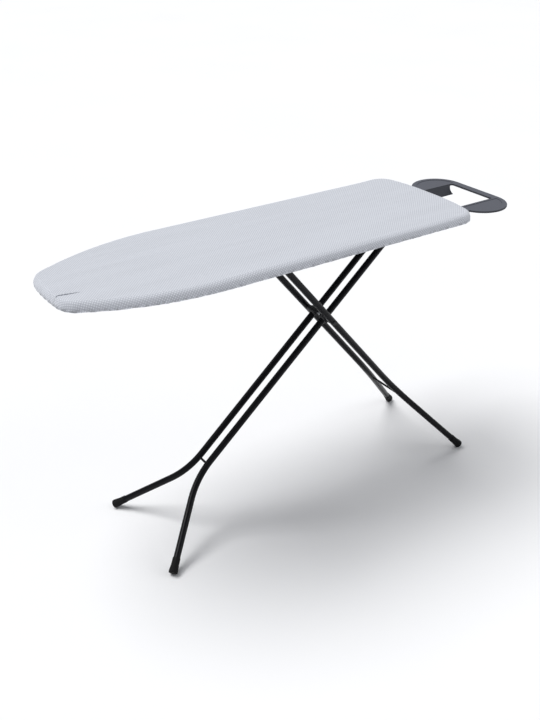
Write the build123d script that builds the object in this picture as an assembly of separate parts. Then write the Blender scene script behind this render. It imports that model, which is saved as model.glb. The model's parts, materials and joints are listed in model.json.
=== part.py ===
import math
import os

from build123d import *

# A light folding ironing board: a padded, covered steel top on two crossed pairs of bent tubes,
# with a steel iron rest at the heel. X runs from nose (-) to heel (+), Y across, Z up from the floor.

# ---------------------------------------------------------------- driving dimensions (mm, degrees)
BOARD_LENGTH = 1080.0
BOARD_WIDTH = 356.0
BOARD_TOP = 740.0  # ironing surface above the floor at the modelled height setting
BOARD_DEPTH = 23.0  # cover top to cover underside
REST_REACH = 168.0  # how far the iron rest stands out behind the heel
HEEL_X = (BOARD_LENGTH - REST_REACH) / 2
NOSE_X = HEEL_X - BOARD_LENGTH
HALF_WIDTH = BOARD_WIDTH / 2

NOSE_BOW = 480.0  # radius of the blunt end, between its rounded corners
TAPER_BOW = 650.0  # radius of each long tapering side, tangent to the straight
TAPER_END_X = NOSE_X + 340.0
HEEL_BOW = 670.0
NOSE_RADIUS = 52.0
HEEL_RADIUS = 50.0
MIN_CORNER = 3.0

COVER_THICK = 1.2
COVER_TOP_RADIUS = 12.0
COVER_BOTTOM_RADIUS = 6.5
HEM_WIDTH = 43.0
LAYER_GAP = 0.3
PAD_THICK = 4.5
PAD_INSET = 6.5
SHEET_THICK = 1.1
SHEET_SETBACK = 0.6  # sheet edge inside the rim, so the rounded cover clears it
CHANNEL_THICK = 1.2
RIM_LIP = 10.0
RIM_RADIUS = 4.0
RIM_CLEARANCE = 1.1  # more room beside the rim than the layer gap, under the rounded cover
STEAM_HOLE_RADIUS = 5.0
STEAM_HOLE_PITCH = 26.0
STEAM_HOLE_MARGIN = 20.0
ELASTIC_WIDTH = 6.0
ELASTIC_THICK = 1.2

TUBE_RADIUS = 8.5
TUBE_WALL = 1.2
PIVOT = (HEEL_X - 365.0, 485.0)  # x, z of the axle where the two leg pairs cross
MECHANISM_Z = 700.0  # height of the two leg-top axes under the board
A_ANGLE = 41.1  # inner pair, hinged under the heel
B_ANGLE = 50.3  # outer pair, sliding under the nose half
A_HALF_GAP = 21.0
B_HALF_GAP = 54.0
A_BEND_AT = 523.0  # along the leg from the pivot to the corner of the flare
B_BEND_AT = 350.0
A_BEND_RADIUS = 180.0
B_BEND_RADIUS = 440.0
A_FOOT = (PIVOT[0] - 547.0, 160.0)  # x, y of a foot's end
B_FOOT = (PIVOT[0] + 410.0, 155.0)
A_BRACE_AT = 479.0
B_BRACE_AT = 407.0
BRACE_RADIUS = 3.0
TUBE_END_PAST = 13.0  # outer tubes run this far past their top rod

CAP_RADIUS = 11.2
CAP_NECK_RADIUS = 9.6
CAP_LENGTH = 38.0
CAP_END = 4.0
CAP_ROUND = 2.5

AXLE_RADIUS = 4.0
FIT = 0.05  # radial running clearance
SLEEVE_RADIUS = 7.0
BOSS_RADIUS = 12.0
COLLAR_RADIUS = 8.0
HEAD_RADIUS = 6.5
HEAD_THICK = 2.4
HEAD_ROUND = 1.6
AXLE_PAST = 1.4  # axle end past the outer tube

BRACKET_AHEAD = 41.0  # hinge pin to the bracket's nose-side edge
BRACKET_BEHIND = 26.0
BRACKET_HALF_WIDTH = 62.0
EAR_INNER = 36.0
EAR_THICK = 1.8
EAR_RADIUS = 11.0

RAIL_Y = 65.0
RAIL_THICK = 1.5
RAIL_REACH = (-208.0, 79.0)  # rail ends from the slide rod at the modelled setting
SLOT_REACH = (-195.0, 71.0)
RAIL_BOTTOM = 686.0
RAIL_FLANGE = 15.0
SLOT_HEIGHT = 18.0
TOOTH_PITCH = 34.0
TOOTH_COUNT = 6
TOOTH_DEPTH = 4.0
TOOTH_WIDTH = 9.0
PAWL_OFFSET = 22.0

REST_TOP = 716.5
REST_THICK = 5.0
REST_SKIN = 2.0
REST_WALL = 1.3
REST_LOBE_RADIUS = 73.5
REST_BAR = 22.0
REST_OPENING = 75.0  # half width of the gap between the lobes
REST_NECK = 33.0
REST_NECK_BACK = 78.0  # how far the necks reach forward under the board
REST_RIM = 13.0
REST_RECESS = 1.0
REST_EDGE = 1.1
REST_INNER_CORNER = 6.0
REST_FIELD_GAP = 6.0  # sunk field to the straight inner edge of a lobe
ARM_THICK = 1.6
ARM_DROP = 25.6
ARM_INWARD = 17.0
ARM_SETBACK = 10.0  # arm end to the bar
ARM_SCOOP = 5.0
ARM_NOTCH = 40.0  # length of the tapered end under the board
RIB_DEPTH = 12.4
RIB_FLANGE = 12.0
RIB_FLOOR = 26.0
RIB_PLACES = {"rib_nose": NOSE_X + 150.0, "rib_mid": PIVOT[0] + 55.0, "rib_heel": HEEL_X - 60.0}
SCREW_X = RIB_PLACES["rib_heel"]
SCREW_Y = 92.0
SCREW_RADIUS = 2.5
SCREW_HOLE_RADIUS = 2.7
SCREW_HEAD = (5.0, 2.9)  # radius, height
SPACER_RADIUS = 8.0
PIN_HEAD_RADIUS = 7.0
HINGE_WASHER_RADIUS = 8.5
CLIP_RADIUS = 7.0
BRACKET_TAPER = 8.0

WASHER_RADIUS = 11.0
LATCH_Y = (69.0, 86.0)
PIN_AHEAD = 12.0
PIN_RADIUS = 2.0
PLATE_Y = (86.6, 89.0)
LEVER_ROD_RADIUS = 3.0
LEVER_REACH = 92.0
LEVER_DROP = 3.0
LEVER_BEND_RADIUS = 13.0
GRIP_Y = (108.0, 168.0)
GRIP_RADIUS = 6.0
SPRING_RADIUS = 3.6
SPRING_WIRE = 0.45
SPRING_TURNS = 3

# ---------------------------------------------------------------- worked-out positions
COVER_BOTTOM = BOARD_TOP - BOARD_DEPTH
PAD_TOP = BOARD_TOP - COVER_THICK - LAYER_GAP
SHEET_TOP = PAD_TOP - PAD_THICK - LAYER_GAP
SHEET_BOTTOM = SHEET_TOP - SHEET_THICK
RIM_INSET = COVER_THICK + LAYER_GAP + RIM_CLEARANCE
RIM_BOTTOM = COVER_BOTTOM + COVER_THICK + LAYER_GAP


def along(angle, reach, side):
    """Point in the leg plane, reach from the pivot; side +1 heads for the heel, -1 for the nose."""
    turn = math.radians(angle)
    return (PIVOT[0] + side * reach * math.cos(turn), PIVOT[1] + reach * math.sin(turn))


A_UPPER = (MECHANISM_Z - PIVOT[1]) / math.sin(math.radians(A_ANGLE))
B_UPPER = (MECHANISM_Z - PIVOT[1]) / math.sin(math.radians(B_ANGLE))
HINGE_X = along(A_ANGLE, A_UPPER, 1)[0]
ROD_X = along(B_ANGLE, B_UPPER, -1)[0]


# ---------------------------------------------------------------- helpers
def save(shape, name):
    shape.label = name
    export_step(shape, f"parts/{name}.step")


def largest(shape):
    return max(shape.solids(), key=lambda solid: solid.volume)


def across(y):
    """Plane facing the left side, drawn in X and Z; extruding by a minus amount goes towards +Y."""
    return Plane(origin=(0, y, 0), x_dir=(1, 0, 0), z_dir=(0, -1, 0))


def group(solids):
    return Compound(children=list(solids))


def cylinder_y(x, z, y_low, y_high, radius):
    """Round bar across the board."""
    plane = Plane(origin=(x, y_low, z), x_dir=(1, 0, 0), z_dir=(0, 1, 0))
    return extrude(plane * Circle(radius), amount=y_high - y_low)


def ring_y(x, z, y_low, y_high, outer, inner):
    plane = Plane(origin=(x, y_low, z), x_dir=(1, 0, 0), z_dir=(0, 1, 0))
    return extrude(plane * (Circle(outer) - Circle(inner)), amount=y_high - y_low)


def block(x_range, y_range, z_range):
    size = [high - low for low, high in (x_range, y_range, z_range)]
    centre = [(high + low) / 2 for low, high in (x_range, y_range, z_range)]
    return Pos(*centre) * Box(*size)


def mirrored(shape):
    return mirror(shape, about=Plane.XZ)


def circle_crossing(centre_a, radius_a, centre_b, radius_b):
    """The upper point where two circles cross."""
    span = Vector(*centre_b) - Vector(*centre_a)
    reach = (radius_a**2 - radius_b**2 + span.length**2) / (2 * span.length)
    rise = math.sqrt(radius_a**2 - reach**2)
    step = span.normalized()
    foot = Vector(*centre_a) + step * reach
    crossings = [foot + Vector(-step.Y, step.X) * rise * sign for sign in (1, -1)]
    highest = max(crossings, key=lambda point: point.Y)
    return highest.X, highest.Y


def board_outline(inset=0.0):
    """Blunt tapering nose, straight sides and a gently bowed heel, drawn inset by some distance."""
    side_y = HALF_WIDTH - inset
    heel_x = HEEL_X - HEEL_BOW + math.sqrt((HEEL_BOW - inset) ** 2 - side_y**2)
    taper_radius = TAPER_BOW - inset
    taper_y = HALF_WIDTH - TAPER_BOW
    nose_x, nose_y = circle_crossing(
        (NOSE_X + NOSE_BOW, 0), NOSE_BOW - inset, (TAPER_END_X, taper_y), taper_radius)
    middle_x = (nose_x + TAPER_END_X) / 2
    middle_y = taper_y + math.sqrt(taper_radius**2 - (middle_x - TAPER_END_X) ** 2)
    with BuildSketch() as sketch:
        with BuildLine():
            ThreePointArc((nose_x, -nose_y), (NOSE_X + inset, 0), (nose_x, nose_y))
            ThreePointArc((nose_x, nose_y), (middle_x, middle_y), (TAPER_END_X, side_y))
            Line((TAPER_END_X, side_y), (heel_x, side_y))
            ThreePointArc((heel_x, side_y), (HEEL_X - inset, 0), (heel_x, -side_y))
            Line((heel_x, -side_y), (TAPER_END_X, -side_y))
            ThreePointArc((TAPER_END_X, -side_y), (middle_x, -middle_y), (nose_x, -nose_y))
        make_face()
        corners = sketch.vertices().sort_by(Axis.X)
        fillet(corners[:2], max(NOSE_RADIUS - inset, MIN_CORNER))
        fillet(sketch.vertices().sort_by(Axis.X)[-2:], max(HEEL_RADIUS - inset, MIN_CORNER))
    return sketch.sketch


def slab(inset, z_low, z_high):
    return extrude(Pos(0, 0, z_low) * board_outline(inset), amount=z_high - z_low)


def band(inset_outer, inset_inner, z_low, z_high):
    face = board_outline(inset_outer) - board_outline(inset_inner)
    return extrude(Pos(0, 0, z_low) * face, amount=z_high - z_low)


def edges_at(shape, z):
    return shape.edges().filter_by_position(Axis.Z, z - 0.01, z + 0.01)


# ---------------------------------------------------------------- covered top
def make_cover():
    """Fitted cloth over the top, down the edge and turned under to the hem."""
    outer = slab(0, COVER_BOTTOM, BOARD_TOP)
    outer = fillet(edges_at(outer, BOARD_TOP), COVER_TOP_RADIUS)
    outer = fillet(edges_at(outer, COVER_BOTTOM), COVER_BOTTOM_RADIUS)
    low, high = COVER_BOTTOM + COVER_THICK, BOARD_TOP - COVER_THICK
    inner = slab(COVER_THICK, low, high)
    inner = fillet(edges_at(inner, high), COVER_TOP_RADIUS - COVER_THICK)
    inner = fillet(edges_at(inner, low), COVER_BOTTOM_RADIUS - COVER_THICK)
    return outer - inner - slab(HEM_WIDTH, COVER_BOTTOM - 1, low + 1)


def make_pad():
    pad = slab(PAD_INSET, PAD_TOP - PAD_THICK, PAD_TOP)
    return fillet(edges_at(pad, PAD_TOP), PAD_THICK - 0.3)


def make_elastic():
    """Flat elastic that draws the hem in, lying on the turned-under cloth."""
    z_low = COVER_BOTTOM + COVER_THICK + 0.1
    inset = HEM_WIDTH - 2 - ELASTIC_WIDTH
    return band(inset, inset + ELASTIC_WIDTH, z_low, z_low + ELASTIC_THICK)


def make_sheet():
    """Steel top sheet with staggered steam holes."""
    face = board_outline(RIM_INSET + SHEET_SETBACK)
    field = board_outline(STEAM_HOLE_MARGIN).face()
    row_step = STEAM_HOLE_PITCH * math.sqrt(3) / 2
    rows = int(HALF_WIDTH // row_step)
    columns = int(BOARD_LENGTH // STEAM_HOLE_PITCH)
    spots = []
    for row in range(-rows, rows + 1):
        shift = STEAM_HOLE_PITCH / 2 if row % 2 else 0.0
        for column in range(columns):
            spot = Vector(NOSE_X + shift + column * STEAM_HOLE_PITCH, row * row_step, 0)
            if field.is_inside(spot):
                spots.append(spot)
    holes = Sketch() + [Pos(*spot) * Circle(STEAM_HOLE_RADIUS) for spot in spots]
    return extrude(Pos(0, 0, SHEET_BOTTOM) * (face - holes), amount=SHEET_THICK)


def make_rim():
    """Rolled edge channel, open inwards, that the sheet is welded to."""
    block_out = slab(RIM_INSET, RIM_BOTTOM, SHEET_BOTTOM)
    block_out = fillet(edges_at(block_out, RIM_BOTTOM), RIM_RADIUS)
    low, high = RIM_BOTTOM + CHANNEL_THICK, SHEET_BOTTOM - CHANNEL_THICK
    hollow = slab(RIM_INSET + CHANNEL_THICK, low, high)
    hollow = fillet(edges_at(hollow, low), RIM_RADIUS - CHANNEL_THICK)
    window = slab(RIM_INSET + CHANNEL_THICK + RIM_LIP, RIM_BOTTOM - 1, SHEET_BOTTOM + 1)
    return block_out - hollow - window


def half_width_at(x):
    """Free half width inside the rim's lips at a station along the board."""
    window = board_outline(RIM_INSET + CHANNEL_THICK + RIM_LIP + 1.0)
    strip = window & (Pos(x, 0) * Rectangle(RIB_FLOOR + 2 * RIB_FLANGE, 2 * HALF_WIDTH))
    top_edges = strip.vertices().sort_by(Axis.Y)
    return min(v.Y for v in top_edges if v.Y > 0)


def make_rib(x):
    """Hat-section cross rib under the sheet."""
    half_floor = RIB_FLOOR / 2
    half_all = half_floor + RIB_FLANGE
    t = CHANNEL_THICK
    top, floor = SHEET_BOTTOM, SHEET_BOTTOM - RIB_DEPTH
    points = [
        (-half_all, top), (-half_floor, top), (-half_floor, floor + t), (half_floor, floor + t),
        (half_floor, top), (half_all, top), (half_all, top - t), (half_floor + t, top - t),
        (half_floor + t, floor), (-half_floor - t, floor), (-half_floor - t, top - t),
        (-half_all, top - t),
    ]
    reach = half_width_at(x)
    profile = make_face(Polyline(*points, close=True))
    return extrude(Pos(x, 0, 0) * across(-reach) * profile, amount=-2 * reach)


# ---------------------------------------------------------------- hinge and slide rails
def make_bracket():
    """Folded plate with two ears that carry the inner legs' hinge pin."""
    x_range = (HINGE_X - BRACKET_AHEAD, HINGE_X + BRACKET_BEHIND)
    y_range = (-BRACKET_HALF_WIDTH, BRACKET_HALF_WIDTH)
    bracket = block(x_range, y_range, (SHEET_BOTTOM - EAR_THICK, SHEET_BOTTOM))
    ear_low = MECHANISM_Z - EAR_RADIUS
    profile = make_face(Polyline(
        (x_range[0] + BRACKET_TAPER, SHEET_BOTTOM), (x_range[1], SHEET_BOTTOM),
        (HINGE_X + EAR_RADIUS, ear_low), (HINGE_X - EAR_RADIUS, ear_low), close=True,
    ))
    profile = fillet([v for v in profile.vertices() if v.Y < MECHANISM_Z], EAR_RADIUS * 0.7)
    for y_low in (EAR_INNER, -EAR_INNER - EAR_THICK):
        bracket += extrude(across(y_low) * profile, amount=-EAR_THICK)
    bore = cylinder_y(HINGE_X, MECHANISM_Z, -EAR_INNER - 5, EAR_INNER + 5, AXLE_RADIUS + FIT)
    return bracket - bore


def make_rail(side):
    """Slotted and toothed guide rail with a welding flange."""
    x_range = (ROD_X + RAIL_REACH[0], ROD_X + RAIL_REACH[1])
    rail = block(x_range, (RAIL_Y, RAIL_Y + RAIL_THICK), (RAIL_BOTTOM, SHEET_BOTTOM))
    flange_y = (RAIL_Y, RAIL_Y + RAIL_THICK + RAIL_FLANGE)
    rail += block(x_range, flange_y, (SHEET_BOTTOM - RAIL_THICK, SHEET_BOTTOM))
    slot_centre = ROD_X + sum(SLOT_REACH) / 2
    slot_length = SLOT_REACH[1] - SLOT_REACH[0]
    cutters = Pos(slot_centre, MECHANISM_Z) * SlotOverall(slot_length, SLOT_HEIGHT)
    notch = make_face(Polyline(
        (-TOOTH_WIDTH / 2, -1), (-TOOTH_WIDTH / 2 + 3, TOOTH_DEPTH), (TOOTH_WIDTH / 2, TOOTH_DEPTH),
        (TOOTH_WIDTH / 2, -1), close=True,
    ))
    for index in range(TOOTH_COUNT):
        x = ROD_X + PAWL_OFFSET + (index + 2 - TOOTH_COUNT) * TOOTH_PITCH
        cutters += Pos(x, RAIL_BOTTOM) * notch
    rail -= extrude(across(RAIL_Y - 1) * cutters, amount=-RAIL_THICK - 2)
    return rail if side > 0 else mirrored(rail)


# ---------------------------------------------------------------- iron rest
def rest_outline(inset=0.0):
    """Two rounded lobes with necks under the board, joined by a bar at the far end."""
    lobe_x = HEEL_X + REST_REACH - REST_LOBE_RADIUS
    back_x = HEEL_X - REST_NECK_BACK
    neck_y = REST_OPENING + REST_NECK
    with BuildSketch() as sketch:
        for side in (1, -1):
            with Locations((lobe_x, side * REST_OPENING)):
                Circle(REST_LOBE_RADIUS)
            with Locations(((back_x + lobe_x) / 2, side * (REST_OPENING + neck_y) / 2)):
                Rectangle(lobe_x - back_x, REST_NECK)
        with Locations((lobe_x + REST_LOBE_RADIUS / 2, 0)):
            Rectangle(REST_LOBE_RADIUS, 2 * REST_OPENING)
        with Locations((lobe_x - REST_BAR, 0)):
            Rectangle(2 * REST_LOBE_RADIUS, 2 * REST_OPENING, mode=Mode.SUBTRACT)
        bar_inner = HEEL_X + REST_REACH - REST_BAR
        inner_corners = [v for v in sketch.vertices()
                         if abs(v.X - bar_inner) < 1 and abs(abs(v.Y) - REST_OPENING) < 1]
        fillet(inner_corners, REST_INNER_CORNER)
        if inset:
            offset(amount=-inset, kind=Kind.ARC, mode=Mode.REPLACE)
    return sketch.sketch


def make_rest_plate():
    """Pressed sheet with its edge turned down and a sunk field in each lobe."""
    low = REST_TOP - REST_THICK
    plate = extrude(Pos(0, 0, low) * rest_outline(), amount=REST_THICK)
    plate = fillet(edges_at(plate, REST_TOP), REST_EDGE)
    plate -= extrude(Pos(0, 0, low) * rest_outline(REST_WALL), amount=REST_THICK - REST_SKIN)
    lobe_x = HEEL_X + REST_REACH - REST_LOBE_RADIUS
    for side in (1, -1):
        field = Pos(lobe_x, side * REST_OPENING) * Circle(REST_LOBE_RADIUS - REST_RIM)
        field &= Pos(lobe_x, side * (REST_OPENING + REST_FIELD_GAP + REST_LOBE_RADIUS)) * Rectangle(
            4 * REST_LOBE_RADIUS, 2 * REST_LOBE_RADIUS)
        plate -= extrude(Pos(0, 0, REST_TOP - REST_RECESS) * field, amount=REST_RECESS)
        plate -= Pos(SCREW_X, side * SCREW_Y, REST_TOP) * Cylinder(SCREW_HOLE_RADIUS, 3 * REST_THICK)
    return plate


def make_rest_arm(side):
    """Sloping side wall of the rest that stiffens a neck, its far edge scooped."""
    slope = Vector(0, -ARM_INWARD, -ARM_DROP)
    length = slope.length
    down = slope.normalized()
    plane = Plane(origin=(HEEL_X, REST_OPENING - 0.05, REST_TOP - 1.0), x_dir=(1, 0, 0),
                  z_dir=Vector(1, 0, 0).cross(down))
    far_x = REST_REACH - REST_BAR - ARM_SETBACK
    back_x = 4 - REST_NECK_BACK
    with BuildSketch() as sketch:
        with BuildLine():
            Line((far_x, length * 0.93), (back_x + ARM_NOTCH, length))
            Line((back_x + ARM_NOTCH, length), (back_x, length * 0.4))
            Line((back_x, length * 0.4), (back_x, 0))
            Line((back_x, 0), (far_x + 3, 0))
            ThreePointArc((far_x + 3, 0), (far_x - ARM_SCOOP, length * 0.42), (far_x, length * 0.93))
        make_face()
    arm = extrude(plane * sketch.sketch, amount=-ARM_THICK)
    return arm if side > 0 else mirrored(arm)


def make_rest_fasteners():
    """Screws up through the necks, and the blocks between necks and rib."""
    rib_floor = SHEET_BOTTOM - RIB_DEPTH
    skin_low = REST_TOP - REST_SKIN
    screws, spacers = [], []
    head_radius, head_height = SCREW_HEAD
    head_top = skin_low - 0.05
    shank_top = rib_floor + CHANNEL_THICK + 4
    height = rib_floor - REST_TOP
    for side in (1, -1):
        place = Pos(SCREW_X, side * SCREW_Y, 0)
        head = place * Pos(0, 0, head_top - head_height / 2) * Cylinder(head_radius, head_height)
        head = fillet(edges_at(head, head_top - head_height), head_height / 2)
        shank_length = shank_top - head_top + 0.1
        shank = place * Pos(0, 0, shank_top - shank_length / 2) * Cylinder(SCREW_RADIUS, shank_length)
        screws.append(head + shank)
        spacer = Cylinder(SPACER_RADIUS, height) - Cylinder(SCREW_HOLE_RADIUS, height + 1)
        spacers.append(place * Pos(0, 0, REST_TOP + height / 2) * spacer)
    return group(screws), group(spacers)


# ---------------------------------------------------------------- legs
def leg_points(angle, top_side, top_reach, bend_at, foot_xy, half_gap):
    """Top, flare corner and foot end of one tube, with the cap's rim just on the floor."""
    top = along(angle, top_reach, top_side)
    bend = along(angle, -bend_at, top_side)
    foot_z = CAP_RADIUS
    for _ in range(8):
        drop = Vector(foot_xy[0] - bend[0], foot_xy[1] - half_gap, foot_z - bend[1]).normalized()
        level = math.hypot(drop.X, drop.Y)
        foot_z = (CAP_RADIUS - CAP_ROUND) * level + CAP_ROUND - CAP_ROUND * abs(drop.Z)
    start = Vector(top[0], half_gap, top[1])
    corner = Vector(bend[0], half_gap, bend[1])
    return start, corner, Vector(foot_xy[0], foot_xy[1], foot_z)


A_LINE = leg_points(A_ANGLE, 1, A_UPPER, A_BEND_AT, A_FOOT, A_HALF_GAP)
B_LINE = leg_points(B_ANGLE, -1, B_UPPER + TUBE_END_PAST, B_BEND_AT, B_FOOT, B_HALF_GAP)


def tube_path(line, bend_radius):
    start, corner, foot = line
    end = foot - (foot - corner).normalized() * CAP_END
    return FilletPolyline(start, corner, end, radius=bend_radius)


def bent_bar(line, bend_radius, outer, inner=0.0):
    start, corner, _ = line
    section = Plane(origin=start, z_dir=(corner - start).normalized())
    ring = Circle(outer) - Circle(inner) if inner else Circle(outer)
    return sweep(section * ring, path=tube_path(line, bend_radius))


def make_inner_leg():
    tube = bent_bar(A_LINE, A_BEND_RADIUS, TUBE_RADIUS, TUBE_RADIUS - TUBE_WALL)
    tube -= cylinder_y(HINGE_X, MECHANISM_Z, 0, 2 * A_HALF_GAP, SLEEVE_RADIUS)
    tube -= cylinder_y(PIVOT[0], PIVOT[1], 0, 2 * A_HALF_GAP, AXLE_RADIUS + FIT)
    return largest(tube)


def make_outer_leg():
    tube = bent_bar(B_LINE, B_BEND_RADIUS, TUBE_RADIUS, TUBE_RADIUS - TUBE_WALL)
    for x, z in ((ROD_X, MECHANISM_Z), PIVOT):
        tube -= cylinder_y(x, z, 0, 2 * B_HALF_GAP, AXLE_RADIUS + FIT)
    return tube


def make_brace(line, bend_radius, reach):
    """Thin rod between the two tubes of a pair, coped onto them."""
    path = tube_path(line, bend_radius)
    place = path.position_at(reach, position_mode=PositionMode.LENGTH)
    rod = cylinder_y(place.X, place.Z, -place.Y, place.Y, BRACE_RADIUS)
    bar = bent_bar(line, bend_radius, TUBE_RADIUS)
    return largest(rod - bar - mirrored(bar))


def make_cap(line):
    """Flared rubber ferrule on a tube's end, its rim rounded."""
    _, corner, foot = line
    bore = TUBE_RADIUS + FIT
    profile = make_face(Polyline(
        (0, 0), (CAP_RADIUS, 0), (CAP_RADIUS, 7), (CAP_NECK_RADIUS, 22), (CAP_NECK_RADIUS, CAP_LENGTH),
        (bore, CAP_LENGTH), (bore, CAP_END), (0, CAP_END), close=True,
    ))
    rim = [v for v in profile.vertices() if v.X > CAP_NECK_RADIUS and v.Y < 1]
    profile = fillet(rim, CAP_ROUND)
    turned = revolve(Plane.XZ * profile, axis=Axis.Z)
    return Plane(origin=foot, z_dir=corner - foot).location * turned


def make_plugs():
    """Domed plastic plugs in the open top ends of the outer tubes."""
    start, corner, _ = B_LINE
    plane = Plane(origin=start, z_dir=start - corner)
    plug = Pos(0, 0, 1.5) * Cylinder(TUBE_RADIUS, 3)
    plug = fillet(plug.edges().sort_by(Axis.Z)[-1], 2.4)
    plug += Pos(0, 0, -1) * Cylinder(TUBE_RADIUS - TUBE_WALL - FIT, 2)
    placed = plane.location * plug
    return group([placed, mirrored(placed)])


def make_boss():
    """Moulded boss that saddles an inner tube at the crossing."""
    x, z = PIVOT
    turn = math.radians(A_ANGLE)
    direction = Vector(math.cos(turn), 0, math.sin(turn))
    boss = cylinder_y(x, z, A_HALF_GAP - 10, A_HALF_GAP + 12, BOSS_RADIUS)
    boss = fillet(boss.edges().filter_by(GeomType.CIRCLE), 1.2)
    centre = Vector(x, A_HALF_GAP, z)
    channel = Plane(origin=centre - direction * 30, z_dir=direction) * Circle(TUBE_RADIUS + FIT)
    boss -= extrude(channel, amount=60)
    return boss - cylinder_y(x, z, 0, 2 * A_HALF_GAP, AXLE_RADIUS + FIT)


def ring_pair(x, z, y_low, y_high, outer, inner):
    ring = ring_y(x, z, y_low, y_high, outer, inner)
    return [ring, mirrored(ring)]


# ---------------------------------------------------------------- height latch
def make_latch_housing():
    x_range = (ROD_X - 20, ROD_X + 16)
    body = block(x_range, LATCH_Y, (MECHANISM_Z - 11, MECHANISM_Z + 11))
    body = fillet(body.edges().filter_by(Axis.Y), 5)
    body -= cylinder_y(ROD_X, MECHANISM_Z, LATCH_Y[0] - 1, LATCH_Y[1] - 5, AXLE_RADIUS + FIT)
    pin_bore = PIN_RADIUS + FIT
    return body - cylinder_y(ROD_X - PIN_AHEAD, MECHANISM_Z, LATCH_Y[0] + 3, LATCH_Y[1] + 1, pin_bore)


def make_lever_pin():
    x = ROD_X - PIN_AHEAD
    shank = cylinder_y(x, MECHANISM_Z, LATCH_Y[0] + 3.5, PLATE_Y[1] + 5, PIN_RADIUS)
    head = cylinder_y(x, MECHANISM_Z, PLATE_Y[1] + 5, PLATE_Y[1] + 6.6, 2.5 * PIN_RADIUS)
    return shank + head


def make_lever_spring():
    pitch = 2.5 * SPRING_WIRE
    helix = Helix(pitch=pitch, height=pitch * SPRING_TURNS, radius=SPRING_RADIUS)
    wire = sweep(Plane(origin=helix @ 0, z_dir=helix % 0) * Circle(SPRING_WIRE), path=helix)
    seat = Plane(origin=(ROD_X - PIN_AHEAD, PLATE_Y[1] + 0.4 + SPRING_WIRE, MECHANISM_Z), z_dir=(0, 1, 0))
    return seat.location * wire


def make_lever():
    """Flat lever with a pawl under the rail at one end and a bent rod handle at the other."""
    pin_x = ROD_X - PIN_AHEAD
    pawl_x = ROD_X + PAWL_OFFSET
    z = MECHANISM_Z
    outline = make_face(Polyline(
        (pin_x - 45, z - 5), (pin_x - 45, z + 4), (pin_x - 6, z + 7), (pin_x + 8, z + 6),
        (pawl_x + 4, z - 19), (pawl_x + 4, z - 27), (pawl_x - 5, z - 27), (pin_x + 4, z - 8),
        (pin_x - 8, z - 7), close=True,
    ))
    outline = fillet(outline.vertices(), 1.8)
    plate = extrude(across(PLATE_Y[0]) * outline, amount=PLATE_Y[0] - PLATE_Y[1])
    pawl = make_face(Polyline((pawl_x - 4, z - 26), (pawl_x - 4, z - 21), (pawl_x, z - 19.5),
                              (pawl_x + 3, z - 19.5), (pawl_x + 3, z - 26), close=True))
    pawl_low = RAIL_Y - 1.8
    plate += extrude(across(pawl_low) * pawl, amount=pawl_low - PLATE_Y[1])
    rod_y = PLATE_Y[1] + LEVER_ROD_RADIUS - 0.6
    start = Vector(pin_x - 18, rod_y, z)
    corner = Vector(ROD_X - LEVER_REACH, rod_y, z - LEVER_DROP)
    end = Vector(ROD_X - LEVER_REACH, GRIP_Y[1] - 2.5, z - LEVER_DROP)
    path = FilletPolyline(start, corner, end, radius=LEVER_BEND_RADIUS)
    section = Plane(origin=start, z_dir=(corner - start).normalized()) * Circle(LEVER_ROD_RADIUS)
    plate += sweep(section, path=path)
    return plate - cylinder_y(pin_x, z, PLATE_Y[0] - 1, PLATE_Y[1] + 1, PIN_RADIUS + FIT)


def make_grip():
    """Soft sleeve over the handle's end, with shallow grooves."""
    x, z = ROD_X - LEVER_REACH, MECHANISM_Z - LEVER_DROP
    grip = cylinder_y(x, z, *GRIP_Y, GRIP_RADIUS)
    grip = fillet(grip.edges().filter_by(GeomType.CIRCLE), 2)
    for index in range(7):
        y = GRIP_Y[0] + 12 + index * 7
        grip -= ring_y(x, z, y, y + 2, GRIP_RADIUS + 1, GRIP_RADIUS - 0.6)
    return grip - cylinder_y(x, z, GRIP_Y[0] - 1, GRIP_Y[1] - 2.4, LEVER_ROD_RADIUS + FIT)


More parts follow.
